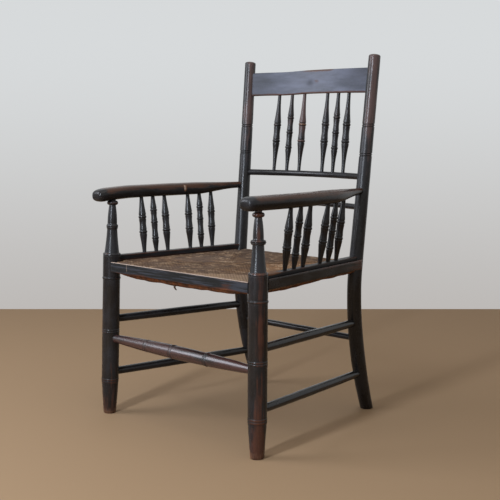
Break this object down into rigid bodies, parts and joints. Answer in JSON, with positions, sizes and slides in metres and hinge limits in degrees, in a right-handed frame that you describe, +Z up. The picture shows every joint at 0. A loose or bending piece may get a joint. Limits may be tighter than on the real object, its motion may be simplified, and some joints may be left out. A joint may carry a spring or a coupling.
{
  "type": "rush seat armchair",
  "caption": "Old turned wooden armchair with a woven rush seat, a spindle back with a bowed crest rail, and spindles under both arms; worn dark finish.",
  "frame": {"origin": "on the floor, under the middle of the chair's bounding box", "axes": "+Z up; the chair's front faces -Y, and +X is on the right of someone who looks at its front"},
  "size_m": [0.5428, 0.5417, 0.8808],
  "materials": {
    "dark_wood": "nearly black stain under old shellac, rubbed and worn to red-brown at edges",
    "worn_brown_wood": "dark stain rubbed down to brown wood",
    "bare_wood": "unfinished wood under the rush",
    "rush": "twisted natural rush, dry and dusty"
  },
  "bodies": {
    "root": {"arm_left": "worn_brown_wood", "arm_right": "worn_brown_wood", "arm_spindle_left_1": "dark_wood", "arm_spindle_left_2": "dark_wood", "arm_spindle_left_3": "dark_wood", "arm_spindle_left_4": "dark_wood", "arm_spindle_left_5": "dark_wood", "arm_spindle_left_6": "dark_wood", "arm_spindle_right_1": "dark_wood", "arm_spindle_right_2": "dark_wood", "arm_spindle_right_3": "dark_wood", "arm_spindle_right_4": "dark_wood", "arm_spindle_right_5": "dark_wood", "arm_spindle_right_6": "dark_wood", "back_post_left": "dark_wood", "back_post_right": "dark_wood", "back_rod_lower": "dark_wood", "back_rod_upper": "dark_wood", "back_spindle_1": "dark_wood", "back_spindle_2": "dark_wood", "back_spindle_3": "dark_wood", "back_spindle_4": "dark_wood", "back_spindle_5": "dark_wood", "back_spindle_6": "dark_wood", "back_stretcher": "dark_wood", "crest_rail": "dark_wood", "front_leg_left": "dark_wood", "front_leg_right": "dark_wood", "front_stretcher": "worn_brown_wood", "front_strip": "dark_wood", "rush_seat": "rush", "seat_rail_back": "bare_wood", "seat_rail_front": "bare_wood", "seat_rail_left": "bare_wood", "seat_rail_right": "bare_wood", "side_stretcher_lower_left": "dark_wood", "side_stretcher_lower_right": "dark_wood", "side_stretcher_upper_left": "dark_wood", "side_stretcher_upper_right": "dark_wood", "side_strip_left": "dark_wood", "side_strip_right": "dark_wood", "spindle_rail_left": "dark_wood", "spindle_rail_right": "dark_wood"}
  },
  "joints": []
}
